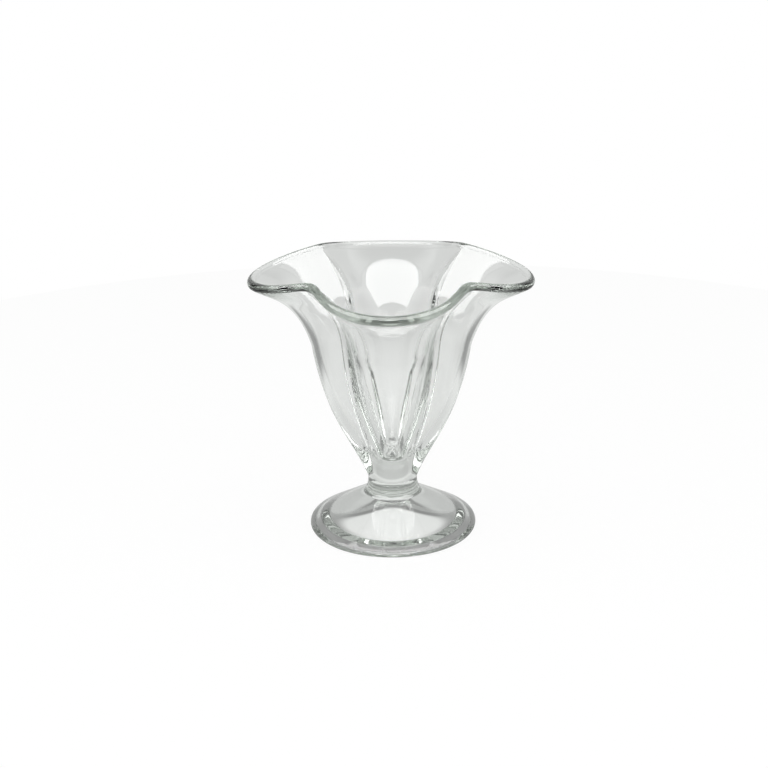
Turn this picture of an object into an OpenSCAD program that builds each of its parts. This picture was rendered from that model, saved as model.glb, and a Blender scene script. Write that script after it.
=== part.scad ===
// Pressed-glass parfait glass: a bowl with four flared lobes on a short stem and a hollow conical foot.
// Millimetres, +Z up. The origin is on the glass's axis, in the plane that it stands on.
// The first lobe faces +X, so the creases between the four lobes lie at 45 degrees to the axes.

/* [Foot] */
// Diameter of the foot across its rounded edge
foot_d = 75; // [70:0.5:84]
// Height at which the stem stands on the foot
foot_h = 17; // [14:0.5:22]
// Radius of the foot's rounded edge
foot_edge_r = 2.1; // [1.5:0.1:2.6]
// Width of the flat ring that the glass stands on
standing_ring_w = 2; // [1.5:0.1:3]
// Width of the slanted step inside the standing ring
step_w = 2.2; // [1:0.1:3]
// Width of the shallow recess between the step and the hollow
recess_w = 4.8; // [3:0.1:6]
// Height of the shallow recess
recess_h = 1.4; // [0.5:0.1:2]
// Diameter of the flat roof of the hollow under the foot
hollow_roof_d = 11.8; // [8:0.2:18]
// Height of the hollow's roof
hollow_h = 9.25; // [7:0.25:11.5]

/* [Stem] */
// Height of the stem between the foot and the bowl
stem_h = 7.3; // [6.2:0.1:14]
// Diameter of the stem's straight neck, and of the bowl's base
stem_d = 22; // [18:0.5:24]
// How far the neck flares out on each side, to its lower end and the foot's top face
stem_flare = 2; // [1:0.1:3.5]
// Height over which the neck flares out
stem_cove_h = 6; // [4:0.25:6.2]

/* [Bowl through its lobes] */
// Number of lobes round the bowl
lobes = 4; // [3:1:6]
// Outer diameter across two lobes at the waist, where the flare begins
lobe_waist_d = 70.2; // [62:0.2:78]
// Height of the lobes' waist above the bowl's base
lobe_waist_h = 62.3; // [54:0.5:68]
// Diameter across two lobes at the outer edge of the rim
lobe_tip_d = 122.2; // [108:0.2:130]
// Height of the lobes' outer rim edge above the bowl's base
lobe_tip_h = 89.9; // [82:0.5:98]
// Lean of the lobe at its base, at the end of its body, at the start of its flare and at its rim
lobe_leans = [20, 9, 17, 62]; // [5:1:75]

/* [Bowl through its creases] */
// Outer diameter across two creases at their waist
crease_waist_d = 57.2; // [52:0.2:64]
// Height of the creases' waist above the bowl's base
crease_waist_h = 67.7; // [60:0.5:74]
// Diameter across two creases at the outer edge of the rim
crease_tip_d = 94.4; // [86:0.2:104]
// Height of the creases' outer rim edge above the bowl's base
crease_tip_h = 95.5; // [88:0.5:104]
// Lean of the crease at its base, at the end of its body, at the start of its flare and at its rim
crease_leans = [16, 6, 6, 48]; // [5:1:60]
// Angle round the axis over which the body's creases are rounded outside
crease_round = 4; // [1:0.5:8]
// Angle over which the rim's kinks are rounded
rim_round = 10.5; // [4:0.5:14]
// Angle over which the creases are rounded inside
well_round = 10; // [3:0.5:20]

/* [Bowl wall] */
// Thickness of the solid floor between the bowl's base and its well
floor_t = 12.7; // [10:0.1:14]
// Thickness of the lobes beside the floor
lobe_low_t = 6.5; // [5:0.1:8]
// Thickness of the creases beside the floor
crease_low_t = 12; // [9:0.1:13]
// Thickness of the lobes at the waist
lobe_wall_t = 3.4; // [2.8:0.1:5]
// Thickness of the creases at the waist
crease_wall_t = 4.5; // [3.5:0.1:6.5]
// Thickness of the rim, which ends in a half-round bead
rim_t = 3.6; // [2.5:0.1:4.5]

/* [Hidden] */
glass_colour = [0.84, 0.88, 0.86, 0.55];

// How far a cut runs past the face that it opens
overrun = 1;

// How strongly each end of a profile's curve keeps its lean: body start, body end, flare start, flare end
lobe_pull_shares = [0.25, 0.56, 0.66, 0.16];
crease_pull_shares = [0.28, 0.50, 0.40, 0.40];
// Where along the body the inner wall turns into the floor, and how strongly the turn holds wall and floor
floor_turn_share = 0.30;
floor_pull_shares = [0.36, 0.46];

// Steps along each stretch of the bowl's profile, and round half a lobe
body_steps = 12;
flare_steps = 10;
rim_steps = 6;
well_steps = 8;
floor_steps = 5;
half_lobe_steps = 10;
// How much closer the columns stand near a crease than on a lobe
column_crowding = 1.4;

foot_top_r = stem_d / 2 + stem_flare;
edge_centre = [foot_d / 2 - foot_edge_r, foot_edge_r];
ring_r = edge_centre.x - standing_ring_w;
recess_r = ring_r - step_w;
hollow_r = recess_r - recess_w;
base_z = foot_h + stem_h;
base_point = [stem_d / 2, base_z];
floor_point = [0, base_z + floor_t];
half_lobe = 180 / lobes;
lobe_steps = 2 * half_lobe_steps;
columns = lobes * lobe_steps;

// Cubic curves: a point, and the direction in which the curve leaves that point
function curve_point(c, s) =
    pow(1 - s, 3) * c[0] + 3 * s * pow(1 - s, 2) * c[1] + 3 * s * s * (1 - s) * c[2] + pow(s, 3) * c[3];
function curve_slope(c, s) =
    pow(1 - s, 2) * (c[1] - c[0]) + 2 * s * (1 - s) * (c[2] - c[1]) + s * s * (c[3] - c[2]);
function heading(lean) = [sin(lean), cos(lean)];
function unit(v) = v / norm(v);
function mix(a, b, s) = a + (b - a) * s;

// The curve between two points that leaves and arrives at the given leans from the upright
function leaning_curve(start, end, leans, pulls) =
    let (chord = norm(end - start))
    [
        start,
        start + heading(leans[0]) * chord * pulls[0],
        end - heading(leans[1]) * chord * pulls[1],
        end
    ];

// The inward normal of a profile's curve, which points to the axis and up
function inward(c, s) = let (d = unit(curve_slope(c, s))) [-d.y, d.x];

// The inner wall opposite a point of the outer curve
function inner_point(c, s, t) = curve_point(c, s) + inward(c, s) * t;

// Half a section of the bowl as [radius, height] points: up the outside, over the rim and down the inside
function section(waist, tip, leans, pulls, low_t, wall_t) =
    let (
        body = leaning_curve(base_point, waist, [leans[0], leans[1]], [pulls[0], pulls[1]]),
        flare = leaning_curve(waist, tip, [leans[2], leans[3]], [pulls[2], pulls[3]]),
        rim_out = -inward(flare, 1),
        rim_up = unit(curve_slope(flare, 1)),
        rim_centre = tip - rim_out * rim_t / 2,
        turn = inner_point(body, floor_turn_share, mix(low_t, wall_t, floor_turn_share)),
        turn_heading = unit(curve_slope(body, floor_turn_share)),
        reach = norm(turn - floor_point),
        floor_curve = [
            turn,
            turn - turn_heading * reach * floor_pull_shares[0],
            floor_point + [reach * floor_pull_shares[1], 0],
            floor_point
        ]
    )
    concat(
        [for (i = [0 : body_steps - 1]) curve_point(body, i / body_steps)],
        [for (i = [0 : flare_steps]) curve_point(flare, i / flare_steps)],
        [
            for (i = [1 : rim_steps - 1])
                let (a = 180 * i / rim_steps)
                rim_centre + (rim_out * cos(a) + rim_up * sin(a)) * rim_t / 2
        ],
        [
            for (i = [0 : flare_steps - 1])
                let (s = 1 - i / flare_steps)
                inner_point(flare, s, mix(wall_t, rim_t, s))
        ],
        [
            for (i = [0 : well_steps - 1])
                let (s = mix(1, floor_turn_share, i / well_steps))
                inner_point(body, s, mix(low_t, wall_t, s))
        ],
        [for (i = [0 : floor_steps - 1]) curve_point(floor_curve, i / floor_steps)]
    );

lobe_section = section(
    [lobe_waist_d / 2, base_z + lobe_waist_h],
    [lobe_tip_d / 2, base_z + lobe_tip_h],
    lobe_leans, lobe_pull_shares, lobe_low_t, lobe_wall_t
);
crease_section = section(
    [crease_waist_d / 2, base_z + crease_waist_h],
    [crease_tip_d / 2, base_z + crease_tip_h],
    crease_leans, crease_pull_shares, crease_low_t, crease_wall_t
);
section_points = len(lobe_section);

// Rounding of the creases at each point of a section: outside, along the rim and inside
crease_rounds = concat(
    [for (i = [0 : body_steps - 1]) crease_round],
    [for (i = [0 : flare_steps]) mix(crease_round, rim_round, i / flare_steps)],
    [for (i = [1 : rim_steps - 1]) rim_round],
    [for (i = [0 : flare_steps - 1]) mix(rim_round, well_round, i / flare_steps)],
    [for (i = [1 : well_steps + floor_steps]) well_round]
);

// Angle between a column of points and its nearest crease, and the column's place round the axis
function crease_angle(i) =
    half_lobe * pow(1 - abs(i % lobe_steps - half_lobe_steps) / half_lobe_steps, column_crowding);
function column_angle(i) =
    let (k = i % lobe_steps - half_lobe_steps)
    2 * half_lobe * floor(i / lobe_steps) + sign(k) * (half_lobe - crease_angle(i));

// Share of the lobe's section in a column: an arc of a circle in plan, rounded where two lobes meet
function lobe_share(i, rounding) =
    let (
        soft = norm([crease_angle(i), rounding]) - rounding,
        full = norm([half_lobe, rounding]) - rounding,
        edge = cos(half_lobe)
    )
    (cos(half_lobe * (1 - soft / full)) - edge) / (1 - edge);

// A column of the bowl: the blend of both sections, turned to the column's place
function column_points(i) =
    let (a = column_angle(i))
    [
        for (j = [0 : section_points - 1])
            let (p = mix(crease_section[j], lobe_section[j], lobe_share(i, crease_rounds[j])))
            [p.x * cos(a), p.x * sin(a), p.y]
    ];

// Four-lobed bowl: its columns of points closed by a flat base and by the floor of the well
module bowl() {
    rings = [for (i = [0 : columns - 1]) each column_points(i)];
    base_centre = len(rings);
    floor_centre = base_centre + 1;
    last = section_points - 1;
    function at(i, j) = (i % columns) * section_points + j;
    wall_faces = [
        for (i = [0 : columns - 1], j = [0 : last - 1])
            each [
                [at(i, j), at(i, j + 1), at(i + 1, j + 1)],
                [at(i, j), at(i + 1, j + 1), at(i + 1, j)]
            ]
    ];
    base_faces = [for (i = [0 : columns - 1]) [base_centre, at(i, 0), at(i + 1, 0)]];
    floor_faces = [for (i = [0 : columns - 1]) [floor_centre, at(i + 1, last), at(i, last)]];
    color(glass_colour)
        polyhedron(
            points = concat(rings, [[0, 0, base_z], [0, 0, floor_point.y]]),
            faces = concat(wall_faces, base_faces, floor_faces)
        );
}

// Solid neck: straight under the bowl, with a cove of one radius that flares to the foot's top face
module stem() {
    cove_r = (stem_flare * stem_flare + stem_cove_h * stem_cove_h) / (2 * stem_flare);
    color(glass_colour)
        translate([0, 0, foot_h])
            rotate_extrude($fn = 96)
                difference() {
                    square([foot_top_r, stem_h]);
                    translate([stem_d / 2 + cove_r, stem_cove_h])
                        circle(r = cove_r, $fn = 96);
                    translate([stem_d / 2, stem_cove_h])
                        square([stem_flare + overrun, stem_h]);
                }
}

// Conical foot: its slope runs tangent into the rounded edge, and a stepped hollow opens under it
module foot() {
    top_edge = [foot_top_r, foot_h];
    span = edge_centre - top_edge;
    slope = atan2(-span.y, span.x) - asin(foot_edge_r / norm(span));
    tangent_point = edge_centre + foot_edge_r * [sin(slope), cos(slope)];
    color(glass_colour)
        rotate_extrude($fn = 192)
            difference() {
                union() {
                    polygon([[0, 0], [edge_centre.x, 0], edge_centre, tangent_point, top_edge, [0, foot_h]]);
                    translate(edge_centre)
                        circle(r = foot_edge_r, $fn = 96);
                }
                polygon([
                    [0, -overrun],
                    [ring_r, -overrun],
                    [ring_r, 0],
                    [recess_r, recess_h],
                    [hollow_r, recess_h],
                    [hollow_roof_d / 2, hollow_h],
                    [0, hollow_h]
                ]);
            }
}

bowl();
stem();
foot();
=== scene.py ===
"""Parfait glass: the skin of pressed glass over its packed solids, and the studio that it stands in.

Lengths are metres, in the frame of the packed solids: the origin is on the axis, in the plane that the
glass stands on, with +Z up and a lobe facing each of +X, +Y, -X and -Y.
"""

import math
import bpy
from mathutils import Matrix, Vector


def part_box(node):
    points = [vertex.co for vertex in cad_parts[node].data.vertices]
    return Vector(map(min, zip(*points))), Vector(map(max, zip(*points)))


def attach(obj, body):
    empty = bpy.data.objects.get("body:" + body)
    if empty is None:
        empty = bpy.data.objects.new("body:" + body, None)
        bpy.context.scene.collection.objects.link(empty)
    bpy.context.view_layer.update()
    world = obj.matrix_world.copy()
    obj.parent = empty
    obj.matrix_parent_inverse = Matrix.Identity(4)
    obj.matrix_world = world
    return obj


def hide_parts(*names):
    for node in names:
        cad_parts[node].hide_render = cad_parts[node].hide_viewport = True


bl_info = {
    "name": "Parfait glass",
    "version": (1, 0, 0),
    "blender": (4, 5, 0),
    "location": "View3D > Sidebar > Parfait glass",
    "description": "Builds a pressed parfait glass and a plain studio around its packed solids",
    "category": "Add Mesh",
}

import bpy
import numpy as np
from bpy.props import FloatProperty, FloatVectorProperty, PointerProperty
from mathutils import Matrix, Vector

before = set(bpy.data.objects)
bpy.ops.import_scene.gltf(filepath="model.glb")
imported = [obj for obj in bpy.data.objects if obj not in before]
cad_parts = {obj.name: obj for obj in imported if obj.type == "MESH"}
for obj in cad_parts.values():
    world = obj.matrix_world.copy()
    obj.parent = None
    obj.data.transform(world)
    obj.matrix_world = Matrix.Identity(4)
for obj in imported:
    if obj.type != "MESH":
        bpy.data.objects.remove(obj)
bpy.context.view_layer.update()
BODY = "root"
NODES = ("bowl", "stem", "foot")

MM = 0.001
FOOT_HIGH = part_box("foot")[1]
STEM_LOW, STEM_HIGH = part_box("stem")

# Points along each stretch of the glass's section, and round half of one lobe
UNDERSIDE_STEPS = 5
EDGE_STEPS = 20
CONE_STEPS = 10
COVE_STEPS = 14
NECK_STEPS = 4
BODY_STEPS = 40
FLARE_STEPS = 32
RIM_STEPS = 22
WELL_STEPS = 34
FLOOR_STEPS = 16
FILLET_STEPS = 4
HALF_LOBE_STEPS = 42
SEAM_STEPS = 17

LOBES = 4
HALF_LOBE = math.pi / LOBES
# How much closer the columns stand near a crease than on a lobe
COLUMN_CROWDING = 1.3
# Digits after the point to which the angles of two columns that count as one agree
ANGLE_DIGITS = 6

# How strongly each end of a section's curve keeps its lean: body start, body end, flare start, flare end
LOBE_PULL_SHARES = (0.25, 0.56, 0.66, 0.16)
CREASE_PULL_SHARES = (0.28, 0.50, 0.40, 0.40)
# Where along the body the inner wall turns into the floor, and how strongly the turn holds wall and floor
FLOOR_TURN_SHARE = 0.30
FLOOR_PULL_SHARES = (0.36, 0.46)


def srgb(hex_colour):
    """The linear colour of an sRGB hex value such as #C0FFEE."""
    channels = np.array([int(hex_colour[i : i + 2], 16) for i in (1, 3, 5)]) / 255
    linear = np.where(channels <= 0.04045, channels / 12.92, ((channels + 0.055) / 1.055) ** 2.4)
    return tuple(float(c) for c in linear)


WHITE = (*srgb("#FFFFFF"), 1)


def length(name, description, default):
    """A property for a size of the glass or of the studio, in metres."""
    return FloatProperty(name=name, description=description, default=default, unit="LENGTH", precision=5)


def leans(name, description, degrees):
    """A property for the four leans of a section from the upright."""
    return FloatVectorProperty(
        name=name,
        description=description,
        default=[math.radians(a) for a in degrees],
        size=len(degrees),
        unit="ROTATION",
    )


def angle(name, description, degrees):
    """A property for one angle."""
    return FloatProperty(name=name, description=description, default=math.radians(degrees), subtype="ANGLE")


class FootSizes(bpy.types.PropertyGroup):
    """Sizes of the conical foot and of the short stem on it."""

    foot_d: length("Foot", "Diameter of the foot across its rounded edge", 2 * FOOT_HIGH.x)
    foot_h: length("Foot height", "Height at which the stem begins", FOOT_HIGH.z)
    edge_r: length("Edge", "Radius of the foot's rounded edge", 2.1 * MM)
    ring_w: length("Standing ring", "Width of the flat ring that the glass stands on", 2 * MM)
    step_w: length("Step", "Width of the slanted step inside the standing ring", 2.2 * MM)
    recess_w: length("Recess", "Width of the shallow recess between the step and the hollow", 4.8 * MM)
    recess_h: length("Recess height", "Height of the shallow recess", 1.4 * MM)
    roof_d: length("Hollow roof", "Diameter of the flat roof of the hollow under the foot", 11.8 * MM)
    hollow_h: length("Hollow height", "Height of the hollow's roof", 9.25 * MM)
    hollow_round: length("Hollow rounding", "Rounding of the edges under the foot", 0.6 * MM)
    stem_r: length("Stem radius", "Radius of the straight neck under the bowl", 11 * MM)
    stem_low_r: length("Stem flare", "Radius of the stem's flared lower end", STEM_HIGH.x)
    cove_h: length("Cove height", "Height over which the neck flares out", 6 * MM)
    joint_round: length("Joint rounding", "Rounding of the edges above and below the stem", 0.35 * MM)
    seam_w: length("Seam width", "Width of the mould seam on the foot's edge", 0.7 * MM)
    seam_h: length("Seam height", "How far the mould seam stands out of the foot's edge", 0.14 * MM)
    seam_turn: angle("Seam place", "Place of the first mould seam round the axis", -110)


class BowlSizes(bpy.types.PropertyGroup):
    """Sizes of the lobed bowl. Heights are above the bowl's base."""

    lobe_waist_d: length("Lobe waist", "Outer diameter across two lobes at the waist", 70.2 * MM)
    lobe_waist_h: length("Lobe waist height", "Height of the lobes' waist, where they flare", 62.3 * MM)
    lobe_tip_d: length("Lobe rim", "Diameter across two lobes at the outer edge of the rim", 122.2 * MM)
    lobe_tip_h: length("Lobe rim height", "Height of the lobes' outer rim edge", 89.1 * MM)
    lobe_leans: leans("Lobe leans", "Lean at the base, body end, flare start and rim", (20, 9, 17, 62))
    crease_waist_d: length("Crease waist", "Outer diameter across two creases at their waist", 57.2 * MM)
    crease_waist_h: length("Crease waist height", "Height of the creases' waist", 67.7 * MM)
    crease_tip_d: length("Crease rim", "Diameter across two creases at the outer edge of the rim", 94.4 * MM)
    crease_tip_h: length("Crease rim height", "Height of the creases' outer rim edge", 95.15 * MM)
    crease_leans: leans("Crease leans", "Lean at the base, body end, flare start and rim", (5, 6, 6, 48))
    crease_round: angle("Crease rounding", "Angle over which the body's creases are rounded outside", 4)
    rim_round: angle("Rim rounding", "Angle over which the rim's kinks are rounded", 8)
    well_round: angle("Well rounding", "Angle over which the creases are rounded inside", 10)
    floor_t: length("Floor", "Thickness of the solid floor under the well", 12.7 * MM)
    lobe_low_t: length("Low lobe wall", "Thickness of the lobes beside the floor", 6.5 * MM)
    crease_low_t: length("Low crease wall", "Thickness of the creases beside the floor", 10 * MM)
    lobe_wall_t: length("Lobe wall", "Thickness of the lobes at the waist", 3.4 * MM)
    crease_wall_t: length("Crease wall", "Thickness of the creases at the waist", 4.5 * MM)
    rim_t: length("Rim bead", "Diameter of the round bead that the rim ends in", 4.1 * MM)
    lip_t: length("Lip", "Thickness of the wall where it meets the bead", 3.7 * MM)


class GlassLook(bpy.types.PropertyGroup):
    """Finish of the pressed soda-lime glass."""

    tint: FloatVectorProperty(
        name="Tint",
        description="Colour that the glass takes on along a long path",
        subtype="COLOR",
        default=srgb("#CAD3CA"),
    )
    tint_density: FloatProperty(
        name="Tint density", description="How fast the glass takes on its tint, per metre", default=11
    )
    ior: FloatProperty(name="IOR", description="Refractive index of soda-lime glass", default=1.52)


class StudioSettings(bpy.types.PropertyGroup):
    """Camera, softbox and dark surroundings."""

    camera_distance: length("Camera distance", "Distance of the camera from its target", 708 * MM)
    camera_pitch: angle("Camera pitch", "How far the camera looks down", 19.6)
    camera_turn: angle("Camera turn", "How far the camera is turned round the glass", 1.46)
    camera_roll: angle("Camera roll", "How far the picture is turned, to the left", 0.65)
    camera_target: FloatVectorProperty(
        name="Camera target",
        description="Point that the camera looks at",
        subtype="XYZ",
        unit="LENGTH",
        default=(-3.45 * MM, -0.09 * MM, 67.5 * MM),
    )
    lens: FloatProperty(name="Lens", description="Focal length", default=75, unit="CAMERA")
    softbox_place: FloatVectorProperty(
        name="Softbox place",
        description="Middle of the overhead softbox",
        subtype="XYZ",
        unit="LENGTH",
        default=(-0.05, -0.385, 0.667),
    )
    softbox_w: length("Softbox width", "Width of the softbox", 3.2)
    softbox_l: length("Softbox length", "Length of the softbox, from front to back", 1.15)
    softbox_level: FloatProperty(
        name="Softbox level",
        description="Brightness of the softbox as a lamp, where 1 is white",
        default=0.96,
    )
    softbox_shine: FloatProperty(
        name="Softbox shine",
        description="Brightness of the softbox as the glass mirrors it",
        default=6.3,
    )
    softbox_glow: FloatProperty(
        name="Softbox glow",
        description="Brightness of the softbox as seen through the glass",
        default=1.6,
    )
    screen_level: FloatProperty(
        name="Screen level",
        description="Brightness of the dark screens on both sides of the glass",
        default=0.08,
    )


def curve_points(controls, shares):
    """Points on a cubic curve: its four controls weighed by the Bernstein polynomials of each share."""
    s = np.asarray(shares)[:, None]
    a, b, c, d = controls
    return (1 - s) ** 3 * a + 3 * s * (1 - s) ** 2 * b + 3 * s**2 * (1 - s) * c + s**3 * d


def curve_headings(controls, shares):
    """Unit directions along a cubic curve: the derivative of its polynomial, brought to length one."""
    s = np.asarray(shares)[:, None]
    a, b, c, d = controls
    along = (1 - s) ** 2 * (b - a) + 2 * s * (1 - s) * (c - b) + s**2 * (d - c)
    return along / np.linalg.norm(along, axis=1, keepdims=True)


def inner_points(controls, shares, thickness):
    """Points of the inner wall: the curve moved along its inward normal by the wall's thickness there."""
    heading = curve_headings(controls, shares)
    inward = np.stack([-heading[:, 1], heading[:, 0]], axis=1)
    return curve_points(controls, shares) + inward * np.broadcast_to(thickness, len(heading))[:, None]


def leaning_curve(start, end, lean_pair, pull_pair):
    """Controls of the curve between two points that leaves and arrives at given leans from the upright."""
    start = np.asarray(start)
    end = np.asarray(end)
    chord = np.linalg.norm(end - start)
    leave, arrive = (np.array([math.sin(a), math.cos(a)]) for a in lean_pair)
    return np.array([start, start + leave * chord * pull_pair[0], end - arrive * chord * pull_pair[1], end])


def line_points(start, end, steps):
    """Evenly spaced points from start to just before end."""
    s = np.arange(steps)[:, None] / steps
    return (1 - s) * np.asarray(start) + s * np.asarray(end)


def arc_points(centre, radius, start, end, steps):
    """Points of a circle about centre from one angle to just before another."""
    a = start + (end - start) * np.arange(steps) / steps
    return np.asarray(centre) + radius * np.stack([np.cos(a), np.sin(a)], axis=1)


def fillet_points(before, corner, after, size):
    """A corner rounded by a parabola that touches both its sides at the given distance from it."""
    corner = np.asarray(corner)
    leg_in = np.asarray(before) - corner
    leg_out = np.asarray(after) - corner
    start = corner + leg_in * size / np.linalg.norm(leg_in)
    end = corner + leg_out * size / np.linalg.norm(leg_out)
    s = np.linspace(0, 1, FILLET_STEPS + 1)[:, None]
    return (1 - s) ** 2 * start + 2 * s * (1 - s) * corner + s**2 * end


def rounded_line(corners, size):
    """Points along a bent line from its first corner to just before its last, with the bends rounded."""
    stretches = []
    start = corners[0]
    for before, corner, after in zip(corners, corners[1:], corners[2:]):
        fillet = fillet_points(before, corner, after, size)
        stretches += [line_points(start, fillet[0], UNDERSIDE_STEPS), fillet[:-1]]
        start = fillet[-1]
    return np.concatenate([*stretches, line_points(start, corners[-1], UNDERSIDE_STEPS)])


def bowl_section(sizes, base, waist, tip, lean_angles, pulls, low_t, wall_t):
    """Half a section of the bowl: up its outside, round the bead of the rim, down the inside to the floor.

    Two leaning curves that meet at the waist make the outside. The inside is the same curves moved inwards
    by the wall, which grows thicker towards the floor. A third curve turns the wall into the flat floor.
    """
    body = leaning_curve(base, waist, lean_angles[:2], pulls[:2])
    flare = leaning_curve(waist, tip, lean_angles[2:], pulls[2:])
    up = np.linspace(0, 1, FLARE_STEPS + 1)
    down = up[::-1]
    rim_up = curve_headings(flare, [1.0])[0]
    rim_out = np.array([rim_up[1], -rim_up[0]])
    rim_centre = np.asarray(tip) - rim_out * sizes.rim_t / 2
    # The bead goes on past its inner side, down to where the thinner wall begins
    bead_end = 2 * math.pi - math.acos(1 - 2 * sizes.lip_t / sizes.rim_t)
    turn_angles = bead_end * np.arange(1, RIM_STEPS)[:, None] / RIM_STEPS
    bead = rim_centre + (rim_out * np.cos(turn_angles) + rim_up * np.sin(turn_angles)) * sizes.rim_t / 2
    lip_share = 1 + math.sin(bead_end) * sizes.rim_t / 2 / np.linalg.norm(3 * (flare[3] - flare[2]))
    flare_t = wall_t + (sizes.lip_t - wall_t) * down
    well = np.linspace(1, FLOOR_TURN_SHARE, WELL_STEPS + 1)
    well_wall = inner_points(body, well, low_t + (wall_t - low_t) * well)
    turn = well_wall[-1]
    floor_centre = np.array([0, base[1] + sizes.floor_t])
    reach = np.linalg.norm(turn - floor_centre)
    floor_curve = [
        turn,
        turn - curve_headings(body, [FLOOR_TURN_SHARE])[0] * reach * FLOOR_PULL_SHARES[0],
        floor_centre + [reach * FLOOR_PULL_SHARES[1], 0],
        floor_centre,
    ]
    return np.concatenate(
        [
            curve_points(body, np.arange(1, BODY_STEPS) / BODY_STEPS),
            curve_points(flare, up),
            bead,
            inner_points(flare, down * lip_share, flare_t)[:-1],
            well_wall[:-1],
            curve_points(floor_curve, np.arange(FLOOR_STEPS + 1) / FLOOR_STEPS),
        ]
    )


def foot_section(sizes, base):
    """Half a section of foot and stem: from the hollow's roof out to the edge, and up to the bowl's base.

    Straight lines make the stepped underside and the outer cone. The edge is an arc that the cone runs into,
    the cove is an arc that ends upright, and small parabolas round the corners.
    """
    edge_centre = np.array([sizes.foot_d / 2 - sizes.edge_r, sizes.edge_r])
    top = np.array([sizes.stem_low_r, sizes.foot_h])
    span = edge_centre - top
    slope = math.atan2(-span[1], span[0]) - math.asin(sizes.edge_r / np.linalg.norm(span))
    tangent = edge_centre + sizes.edge_r * np.array([math.sin(slope), math.cos(slope)])
    ring_r = edge_centre[0] - sizes.ring_w
    recess_r = ring_r - sizes.step_w
    underside = [
        (0, sizes.hollow_h),
        (sizes.roof_d / 2, sizes.hollow_h),
        (recess_r - sizes.recess_w, sizes.recess_h),
        (recess_r, sizes.recess_h),
        (ring_r, 0),
        (edge_centre[0], 0),
    ]
    flare = sizes.stem_low_r - sizes.stem_r
    cove_r = (flare**2 + sizes.cove_h**2) / (2 * flare)
    cove_centre = np.array([sizes.stem_r + cove_r, sizes.foot_h + sizes.cove_h])
    cove_start = math.pi + math.asin(sizes.cove_h / cove_r)
    cove = arc_points(cove_centre, cove_r, cove_start, math.pi, COVE_STEPS)
    top_fillet = fillet_points(tangent, top, cove[1], sizes.joint_round)
    return np.concatenate(
        [
            rounded_line(underside, sizes.hollow_round),
            arc_points(edge_centre, sizes.edge_r, -math.pi / 2, math.pi / 2 - slope, EDGE_STEPS),
            line_points(tangent, top_fillet[0], CONE_STEPS),
            top_fillet,
            cove[1:],
            line_points((sizes.stem_r, sizes.foot_h + sizes.cove_h), base, NECK_STEPS),
            [base],
        ]
    )


def column_angles(seam_turn, seam_reach):
    """Angles of the columns of points: crowded towards each crease, and close together at both seams."""
    steps = np.arange(HALF_LOBE_STEPS) / HALF_LOBE_STEPS
    from_crease = HALF_LOBE * steps**COLUMN_CROWDING
    half = HALF_LOBE - from_crease
    lobe = np.concatenate([-half, half[1:], [0]])
    round_all = (lobe[None, :] + 2 * HALF_LOBE * np.arange(LOBES)[:, None]).ravel()
    seams = seam_turn + np.array([0, math.pi])[:, None] + np.linspace(-seam_reach, seam_reach, SEAM_STEPS)
    return np.unique(np.round(np.mod(np.concatenate([round_all, seams.ravel()]), 2 * math.pi), ANGLE_DIGITS))


def seam_heights(sizes, angles, radii, heights):
    """How far the two mould seams stand out: a smooth ridge across, strongest where the foot is widest."""
    from_seam = np.mod(angles - sizes.seam_turn + math.pi / 2, math.pi) - math.pi / 2
    across = np.clip(np.abs(from_seam) * sizes.foot_d / 2 / sizes.seam_w, 0, 1)
    out = np.clip(1 - (sizes.foot_d / 2 - radii) / sizes.edge_r, 0, 1)
    return sizes.seam_h * (0.5 + 0.5 * np.cos(math.pi * across)) * out * (heights < sizes.foot_h)


def crease_roundings(sizes):
    """Rounding of the creases at each point of the bowl's section: outside, along the rim and inside."""
    to_rim = np.linspace(sizes.crease_round, sizes.rim_round, FLARE_STEPS + 1)
    to_well = np.linspace(sizes.rim_round, sizes.well_round, FLARE_STEPS + 1)
    return np.concatenate(
        [
            np.full(BODY_STEPS - 1, sizes.crease_round),
            to_rim,
            np.full(RIM_STEPS - 1, sizes.rim_round),
            to_well[:-1],
            np.full(WELL_STEPS + FLOOR_STEPS + 1, sizes.well_round),
        ]
    )


def lobe_shares(angles, roundings):
    """Share of the lobe's section at each angle: the cosine of the angle from the lobe's middle.

    It is softened where two lobes meet, and brought to zero there and to one in the middle.
    """
    from_lobe = np.abs(np.mod(angles + HALF_LOBE, 2 * HALF_LOBE) - HALF_LOBE)
    from_crease = HALF_LOBE - from_lobe
    soft = np.hypot(from_crease, roundings) - roundings
    full = np.hypot(HALF_LOBE, roundings) - roundings
    edge = math.cos(HALF_LOBE)
    return (np.cos(HALF_LOBE * (1 - soft / full)) - edge) / (1 - edge)


def closed_mesh(name, points):
    """A closed mesh from columns of points whose first and last point lie on the axis and are shared.

    Neighbouring columns are joined by four-sided faces, and by triangles at the two poles.
    """
    columns, rows = points.shape[:2]
    inner = rows - 2
    vertices = np.concatenate([points[:, 1:-1].reshape(-1, 3), points[0, :1], points[0, -1:]])
    start_pole = columns * inner
    end_pole = start_pole + 1
    here = np.arange(columns)[:, None] * inner + np.arange(inner)
    after = np.roll(here, -1, axis=0)
    quads = np.stack([here[:, :-1], after[:, :-1], after[:, 1:], here[:, 1:]], axis=-1).reshape(-1, 4)
    first = np.stack([np.full(columns, start_pole), after[:, 0], here[:, 0]], axis=1)
    last = np.stack([np.full(columns, end_pole), here[:, -1], after[:, -1]], axis=1)
    mesh = bpy.data.meshes.new(name)
    mesh.from_pydata(vertices.tolist(), [], quads.tolist() + first.tolist() + last.tolist())
    mesh.shade_smooth()
    return mesh


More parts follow.
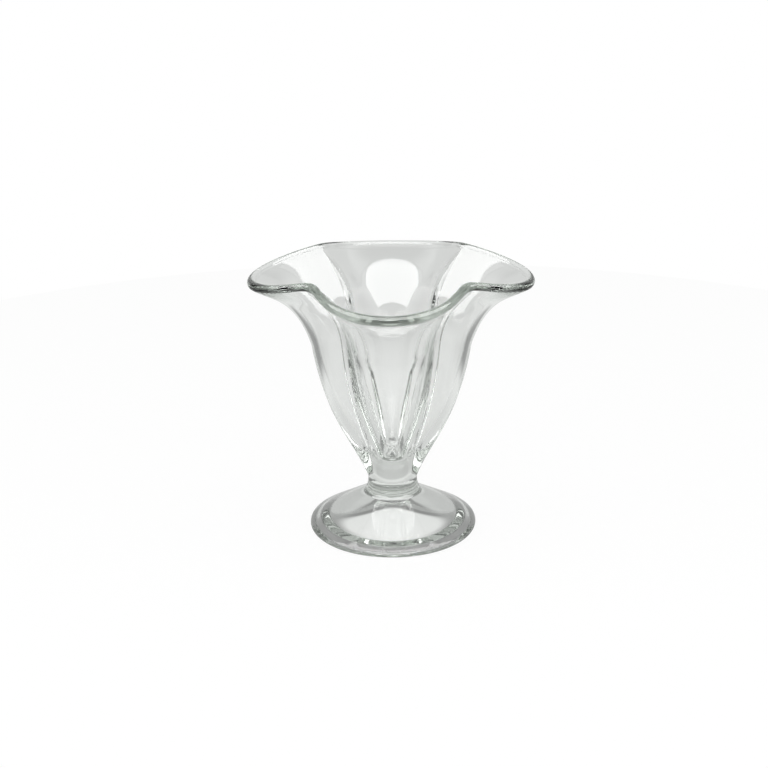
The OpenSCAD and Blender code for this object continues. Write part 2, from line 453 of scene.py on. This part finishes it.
def add_node(tree, kind, inputs=(), **settings):
    """Adds a node with its settings and its inputs, each of them a value or the output of another node.

    The inputs are given by name, or in the order of the node's sockets.
    """
    node = tree.nodes.new(kind)
    for name, setting in settings.items():
        setattr(node, name, setting)
    by_socket = inputs if isinstance(inputs, dict) else dict(enumerate(inputs))
    for socket, source in by_socket.items():
        if isinstance(source, bpy.types.NodeSocket):
            tree.links.new(source, node.inputs[socket])
        else:
            node.inputs[socket].default_value = source
    return node


def new_material(name):
    """An empty node material and its node tree."""
    material = bpy.data.materials.new(name)
    material.use_nodes = True
    material.node_tree.nodes.clear()
    return material, material.node_tree


def pressed_glass(look):
    """Soda-lime glass, pressed in a mould and fire-polished.

    The eye sees a clear, glossy body whose thick places and edges turn grey-green, because light takes on
    the tint of the iron in the glass along its path.
    """
    material, tree = new_material("pressed_soda_lime_glass")
    glass = add_node(
        tree,
        "ShaderNodeBsdfPrincipled",
        {
            "Base Color": WHITE,
            "Roughness": 0.0,
            "IOR": look.ior,
            "Transmission Weight": 1.0,
        },
    )
    tint = add_node(
        tree,
        "ShaderNodeVolumeAbsorption",
        {"Color": (*look.tint, 1), "Density": look.tint_density},
    )
    add_node(
        tree,
        "ShaderNodeOutputMaterial",
        {"Surface": glass.outputs["BSDF"], "Volume": tint.outputs["Volume"]},
    )
    return material


# What the glass shows of the studio, where 1 is white: the ground, the walls around it and the ceiling
GROUND_LEVEL = 0.82
FAR_LEVEL = 0.69
WALL_LEVEL = 0.6
CEILING_LEVEL = 0.28
CEILING_SIDE_LEVEL = 1.0
AMBIENT_LEVEL = 0.5
# Red and blue of the ground and the walls beside a green of 1
ROOM_TINT = 0.985
# Painted light and shade of the ground under the glass: painted light under the hollow, painted shadow round
# the foot's edge, painted half shadow behind it and painted full light before it
PAINTED_HOLLOW_LIGHT = 0.85
PAINTED_SHADOW_LEVEL = 0.25
PAINTED_HALF_SHADOW_LEVEL = 0.7
PAINTED_FRONT_LIGHT = 1.05
HOLLOW_RADII = (0.019, 0.025)
SHADOW_RADII = (0.034, 0.042)
NEAR_RADII = (0.06, 0.125)
FAR_RADII = (0.12, 0.35)
FRONT_REACH = (-0.08, -0.02)
# Painted shade: the ground behind the glass is darker aside, beyond a distance, and beyond a slant line from
# the axis
PAINTED_SIDE_SHADE_SHARE = 0.4
SIDE_RADII = (0.12, 0.16)
SIDE_SLANT = 0.7
SIDE_REACH = (-0.01, 0.03)
# Heights, as the sine of the elevation, between which the walls turn into the ceiling
CEILING_HEIGHTS = (math.sin(math.radians(28)), math.sin(math.radians(36)))
# How far aside the ceiling grows brighter, where 1 is straight to the left or right
CEILING_SIDES = (0.25, 0.55)
FLOOR_WHITE = (*srgb("#FAFAFA"), 1)
# Share of plain white in the floor as the camera sees it. The rest is its shade, with the glass's shadow.
FLOOR_WHITE_SHARE = 0.92
FLOOR_RADIUS = 0.45
SCREEN_RADIUS = 2.0
SCREEN_H = 0.8
# Turns from straight in front between which the screens stand
SCREEN_TURNS = (math.radians(45), math.radians(137))
ROUND_STEPS = 64
# Shares of the softbox's width and length over which its face fades at each edge
SOFT_EDGES = {"X": 0.12, "Y": 0.06}
# How often a ray may pass through surfaces of the glass, and be mirrored by them
GLASS_BOUNCES = 32
MIRROR_BOUNCES = 16


def mirrored_ray(tree, path):
    """One for the rays by which glass and metal show the studio: glossy and transmission rays."""
    rays = (path.outputs["Is Glossy Ray"], path.outputs["Is Transmission Ray"])
    return add_node(tree, "ShaderNodeMath", rays, operation="MAXIMUM").outputs[0]


def painted_ground_light_and_shade(tree):
    """Painted light and shade of the floor in the glass, from the distance to the axis and the places aside
    and behind.

    Smooth steps between two distances turn one level into the next. The painted side shade is the product of
    two.
    """
    place = add_node(tree, "ShaderNodeNewGeometry").outputs["Position"]
    axes = add_node(tree, "ShaderNodeSeparateXYZ", (place,))
    from_axis = add_node(tree, "ShaderNodeVectorMath", (place,), operation="LENGTH").outputs["Value"]
    behind = axes.outputs["Y"]
    slant = add_node(tree, "ShaderNodeMath", (behind, SIDE_SLANT), operation="MULTIPLY").outputs[0]
    out = add_node(tree, "ShaderNodeMath", (axes.outputs["X"],), operation="ABSOLUTE").outputs[0]
    aside = add_node(tree, "ShaderNodeMath", (out, slant), operation="SUBTRACT").outputs[0]
    steps = []
    # Painted shadow round the foot and half shadow behind it, painted light under the hollow and before it,
    # painted shade aside
    for source, reach, levels in (
        (from_axis, SIDE_RADII, (0, 1)),
        (aside, SIDE_REACH, (0, 1)),
        (from_axis, NEAR_RADII, (PAINTED_HALF_SHADOW_LEVEL, GROUND_LEVEL)),
        (from_axis, FAR_RADII, (GROUND_LEVEL, FAR_LEVEL)),
        (behind, FRONT_REACH, (1, 0)),
        (from_axis, HOLLOW_RADII, (PAINTED_HOLLOW_LIGHT, PAINTED_SHADOW_LEVEL)),
        (from_axis, SHADOW_RADII, (0, 1)),
    ):
        inputs = (source, *reach, *levels)
        step = add_node(tree, "ShaderNodeMapRange", inputs, interpolation_type="SMOOTHSTEP")
        steps.append(step.outputs["Result"])
    far_side, beyond_slant, near, far, in_front, hollow, out_of_shadow = steps
    side = add_node(tree, "ShaderNodeMath", (far_side, beyond_slant), operation="MULTIPLY").outputs[0]
    shade = add_node(tree, "ShaderNodeMix", {"Factor": side, "A": 1, "B": PAINTED_SIDE_SHADE_SHARE}).outputs["Result"]
    open_ground = add_node(tree, "ShaderNodeMath", (near, far), operation="MINIMUM").outputs[0]
    back = add_node(tree, "ShaderNodeMath", (open_ground, shade), operation="MULTIPLY").outputs[0]
    around = add_node(tree, "ShaderNodeMix", {"Factor": in_front, "A": back, "B": PAINTED_FRONT_LIGHT})
    under = {"Factor": out_of_shadow, "A": hollow, "B": around.outputs["Result"]}
    return add_node(tree, "ShaderNodeMix", under).outputs["Result"]


def room_colour(tree, camera):
    """White for the camera, and the faint tint of the room for glass."""
    tint = add_node(tree, "ShaderNodeMix", {"Factor": camera, "A": ROOM_TINT, "B": 1}).outputs["Result"]
    return add_node(tree, "ShaderNodeCombineColor", (tint, 1, tint)).outputs["Color"]


def matt_white():
    """Matt white card, lit from above, which the camera sees as plain white with a soft shadow.

    Glass that mirrors the card or lets it through shows it at the level of the ground, with painted shadow
    round the foot, painted light under the hollow and before it, and painted shade aside.
    """
    material, tree = new_material("matt_white_card")
    path = add_node(tree, "ShaderNodeLightPath")
    camera = path.outputs["Is Camera Ray"]
    shade = add_node(tree, "ShaderNodeBsdfDiffuse", {"Color": FLOOR_WHITE})
    # Glass sees the card's emission with the painted light and shade of the ground
    level = add_node(tree, "ShaderNodeMix", {"Factor": camera, "A": painted_ground_light_and_shade(tree), "B": 1})
    white = add_node(
        tree,
        "ShaderNodeEmission",
        {"Color": room_colour(tree, camera), "Strength": level.outputs["Result"]},
    )
    share = add_node(
        tree,
        "ShaderNodeMix",
        {"Factor": camera, "A": mirrored_ray(tree, path), "B": FLOOR_WHITE_SHARE},
    )
    mix = add_node(
        tree,
        "ShaderNodeMixShader",
        (share.outputs["Result"], shade.outputs["BSDF"], white.outputs["Emission"]),
    )
    add_node(tree, "ShaderNodeOutputMaterial", {"Surface": mix.outputs["Shader"]})
    return material


def grey_cloth(level):
    """Grey cloth of a screen, which glass mirrors at an even level."""
    material, tree = new_material("grey_cloth")
    glow = add_node(tree, "ShaderNodeEmission", {"Color": WHITE, "Strength": level})
    add_node(tree, "ShaderNodeOutputMaterial", {"Surface": glow.outputs["Emission"]})
    return material


def white_cloth(shine, glow):
    """White cloth of a softbox with the lamp behind it, which fades at its edges.

    Glass that mirrors the cloth shows it at one level, and glass that lets it through at another.
    """
    material, tree = new_material("white_cloth")
    path = add_node(tree, "ShaderNodeLightPath")
    through = {"Factor": path.outputs["Is Transmission Ray"], "A": shine, "B": glow}
    level = add_node(tree, "ShaderNodeMix", through).outputs["Result"]
    place = add_node(tree, "ShaderNodeTexCoord").outputs["Generated"]
    axes = add_node(tree, "ShaderNodeSeparateXYZ", (place,))
    for axis, edge in SOFT_EDGES.items():
        # Folded at its middle, the cloth's width or length is the distance from the nearer edge
        from_edge = add_node(tree, "ShaderNodeMath", (axes.outputs[axis], 0.5), operation="PINGPONG")
        inputs = (from_edge.outputs[0], 0, edge, 0, 1)
        fade = add_node(tree, "ShaderNodeMapRange", inputs, interpolation_type="SMOOTHSTEP")
        factors = (fade.outputs["Result"], level)
        level = add_node(tree, "ShaderNodeMath", factors, operation="MULTIPLY").outputs[0]
    light = add_node(tree, "ShaderNodeEmission", {"Color": WHITE, "Strength": level})
    add_node(tree, "ShaderNodeOutputMaterial", {"Surface": light.outputs["Emission"]})
    return material


def stage_object(name, points, material):
    """A sheet of the studio from a grid of points."""
    across, along = points.shape[:2]
    index = np.arange(across * along).reshape(across, along)
    quads = np.stack([index[:-1, :-1], index[1:, :-1], index[1:, 1:], index[:-1, 1:]], axis=-1)
    mesh = bpy.data.meshes.new(name)
    mesh.from_pydata(points.reshape(-1, 3).tolist(), [], quads.reshape(-1, 4).tolist())
    mesh.shade_smooth()
    mesh.materials.append(material)
    sheet = bpy.data.objects.new(name, mesh)
    bpy.context.scene.collection.objects.link(sheet)
    return sheet


def flat_grid(x_pair, y_pair, z):
    """Corner points of a level rectangle."""
    x, y = np.meshgrid(x_pair, y_pair, indexing="ij")
    return np.stack([x, y, np.full_like(x, z)], axis=-1)


def round_grid(turns, radii, heights):
    """Points round the axis at the given angles, on the rings that the radii and heights give."""
    turn = np.asarray(turns)[:, None]
    radius = np.asarray(radii)[None, :]
    z = np.broadcast_to(np.asarray(heights)[None, :], (len(turns), len(heights)))
    return np.stack([radius * np.cos(turn), radius * np.sin(turn), z], axis=-1)


def mirrored_only(sheet):
    """Lets the glass mirror and refract a sheet that the camera doesn't see and that casts no shadow."""
    sheet.visible_camera = False
    sheet.visible_diffuse = False
    sheet.visible_shadow = False


class PARFAIT_OT_glass(bpy.types.Operator):
    """Build the skin of the glass over the packed bowl, stem and foot"""

    bl_idname = "parfait.glass"
    bl_label = "Glass"

    def execute(self, context):
        foot = context.scene.parfait_foot
        bowl = context.scene.parfait_bowl
        base = (foot.stem_r, STEM_HIGH.z)
        lobe = bowl_section(
            bowl,
            base,
            (bowl.lobe_waist_d / 2, base[1] + bowl.lobe_waist_h),
            (bowl.lobe_tip_d / 2, base[1] + bowl.lobe_tip_h),
            bowl.lobe_leans,
            LOBE_PULL_SHARES,
            bowl.lobe_low_t,
            bowl.lobe_wall_t,
        )
        crease = bowl_section(
            bowl,
            base,
            (bowl.crease_waist_d / 2, base[1] + bowl.crease_waist_h),
            (bowl.crease_tip_d / 2, base[1] + bowl.crease_tip_h),
            bowl.crease_leans,
            CREASE_PULL_SHARES,
            bowl.crease_low_t,
            bowl.crease_wall_t,
        )
        low = foot_section(foot, base)
        angles = column_angles(foot.seam_turn, 2 * foot.seam_w / foot.foot_d)
        share = lobe_shares(angles[:, None], crease_roundings(bowl))[..., None]
        sections = np.concatenate(
            [
                np.broadcast_to(low, (len(angles), *low.shape)),
                (1 - share) * crease + share * lobe,
            ],
            axis=1,
        )
        r = sections[..., 0] + seam_heights(foot, angles[:, None], sections[..., 0], sections[..., 1])
        a = angles[:, None]
        points = np.stack([r * np.cos(a), r * np.sin(a), sections[..., 1]], axis=-1)
        mesh = closed_mesh("parfait_glass", points)
        mesh.materials.append(pressed_glass(context.scene.parfait_look))
        glass = bpy.data.objects.new("parfait_glass", mesh)
        context.scene.collection.objects.link(glass)
        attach(glass, BODY)
        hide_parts(*NODES)
        return {"FINISHED"}


class PARFAIT_OT_stage(bpy.types.Operator):
    """Set the camera, the softbox, the white floor and the dark screens"""

    bl_idname = "parfait.stage"
    bl_label = "Stage"

    def execute(self, context):
        studio = context.scene.parfait_studio
        self.make_sheets(studio)
        self.make_softbox(context, studio)
        self.make_world(context)
        self.make_camera(context, studio)
        context.scene.view_settings.view_transform = "Standard"
        context.scene.cycles.max_bounces = GLASS_BOUNCES
        context.scene.cycles.transmission_bounces = GLASS_BOUNCES
        context.scene.cycles.glossy_bounces = MIRROR_BOUNCES
        return {"FINISHED"}

    def make_sheets(self, studio):
        """A white floor, a dark screen on each side of the glass and the face of the softbox."""
        round_all = np.linspace(0, 2 * math.pi, ROUND_STEPS)
        stage_object("floor", round_grid(round_all, (0, FLOOR_RADIUS), (0, 0)), matt_white())
        cloth = grey_cloth(studio.screen_level)
        for name, side in (("screen_left", -1), ("screen_right", 1)):
            turns = side * np.linspace(*SCREEN_TURNS, ROUND_STEPS) - math.pi / 2
            screen = round_grid(turns, (SCREEN_RADIUS, SCREEN_RADIUS), (0, SCREEN_H))
            mirrored_only(stage_object(name, screen, cloth))
        x, y, z = studio.softbox_place
        half_w = studio.softbox_w / 2
        half_l = studio.softbox_l / 2
        face = flat_grid((x - half_w, x + half_w), (y - half_l, y + half_l), z)
        cloth = white_cloth(studio.softbox_shine, studio.softbox_glow)
        mirrored_only(stage_object("softbox_face", face, cloth))

    def make_softbox(self, context, studio):
        """The light of the overhead softbox, whose face the glass mirrors in its stead."""
        lamp = bpy.data.lights.new("softbox", "AREA")
        lamp.shape = "RECTANGLE"
        lamp.size = studio.softbox_w
        lamp.size_y = studio.softbox_l
        lamp.energy = math.pi * studio.softbox_w * studio.softbox_l * studio.softbox_level
        softbox = bpy.data.objects.new("softbox", lamp)
        softbox.location = studio.softbox_place
        softbox.visible_glossy = False
        softbox.visible_transmission = False
        context.scene.collection.objects.link(softbox)

    def make_world(self, context):
        """Plain soft light from all round, which the camera sees as white, and glass as a room.

        The room is the ground below, the walls around and a ceiling that is brighter aside.
        """
        world = bpy.data.worlds.new("studio")
        context.scene.world = world
        world.use_nodes = True
        tree = world.node_tree
        tree.nodes.clear()
        path = add_node(tree, "ShaderNodeLightPath")
        camera = path.outputs["Is Camera Ray"]
        heading = add_node(tree, "ShaderNodeTexCoord").outputs["Generated"]
        axes = add_node(tree, "ShaderNodeSeparateXYZ", (heading,))
        height = axes.outputs["Z"]
        above = add_node(tree, "ShaderNodeMath", (height, 0), operation="GREATER_THAN").outputs[0]
        aside = add_node(tree, "ShaderNodeMath", (axes.outputs["X"],), operation="ABSOLUTE").outputs[0]
        steps = []
        for source, reach, levels in (
            (aside, CEILING_SIDES, (CEILING_LEVEL, CEILING_SIDE_LEVEL)),
            (height, CEILING_HEIGHTS, (0, 1)),
        ):
            inputs = (source, *reach, *levels)
            step = add_node(tree, "ShaderNodeMapRange", inputs, interpolation_type="SMOOTHSTEP")
            steps.append(step.outputs["Result"])
        ceiling, up_wall = steps
        upper = add_node(tree, "ShaderNodeMix", {"Factor": up_wall, "A": WALL_LEVEL, "B": ceiling})
        room = add_node(
            tree, "ShaderNodeMix", {"Factor": above, "A": FAR_LEVEL, "B": upper.outputs["Result"]}
        )
        unseen = add_node(
            tree,
            "ShaderNodeMix",
            {"Factor": mirrored_ray(tree, path), "A": AMBIENT_LEVEL, "B": room.outputs["Result"]},
        )
        level = add_node(tree, "ShaderNodeMix", {"Factor": camera, "A": unseen.outputs["Result"], "B": 1})
        light = add_node(
            tree,
            "ShaderNodeBackground",
            {"Color": room_colour(tree, camera), "Strength": level.outputs["Result"]},
        )
        add_node(tree, "ShaderNodeOutputWorld", {"Surface": light.outputs["Background"]})

    def make_camera(self, context, studio):
        """The camera looks down at its target, turned round the glass and about its own line of sight."""
        data = bpy.data.cameras.new("camera")
        data.lens = studio.lens
        camera = bpy.data.objects.new("camera", data)
        aim = (
            Matrix.Rotation(studio.camera_turn, 4, "Z")
            @ Matrix.Rotation(math.pi / 2 - studio.camera_pitch, 4, "X")
            @ Matrix.Rotation(-studio.camera_roll, 4, "Z")
        )
        back = aim @ Vector((0, 0, studio.camera_distance))
        camera.matrix_world = Matrix.Translation(Vector(studio.camera_target) + back) @ aim
        context.scene.collection.objects.link(camera)
        context.scene.camera = camera


class PARFAIT_PT_panel(bpy.types.Panel):
    """Sizes, finish and studio of the parfait glass"""

    bl_idname = "PARFAIT_PT_panel"
    bl_label = "Parfait glass"
    bl_space_type = "VIEW_3D"
    bl_region_type = "UI"
    bl_category = "Parfait glass"

    def draw(self, context):
        layout = self.layout
        for operator in OPERATORS:
            layout.operator(operator.bl_idname)
        for attribute, group in GROUPS.items():
            box = layout.box()
            box.label(text=group.__doc__.strip())
            for name in group.__annotations__:
                box.prop(getattr(context.scene, attribute), name)


GROUPS = {
    "parfait_foot": FootSizes,
    "parfait_bowl": BowlSizes,
    "parfait_look": GlassLook,
    "parfait_studio": StudioSettings,
}
OPERATORS = (PARFAIT_OT_glass, PARFAIT_OT_stage)


def register():
    """Register the sizes, the operators and the panel."""
    for cls in (*GROUPS.values(), *OPERATORS, PARFAIT_PT_panel):
        bpy.utils.register_class(cls)
    for attribute, group in GROUPS.items():
        setattr(bpy.types.Scene, attribute, PointerProperty(type=group))


def unregister():
    """Take the panel, the operators and the sizes away again."""
    for attribute in GROUPS:
        delattr(bpy.types.Scene, attribute)
    for cls in (PARFAIT_PT_panel, *reversed(OPERATORS), *reversed(list(GROUPS.values()))):
        bpy.utils.unregister_class(cls)


def main():
    """Register the classes, and build the glass and its studio."""
    register()
    bpy.ops.parfait.glass()
    bpy.ops.parfait.stage()


if __name__ == "__main__":
    main()
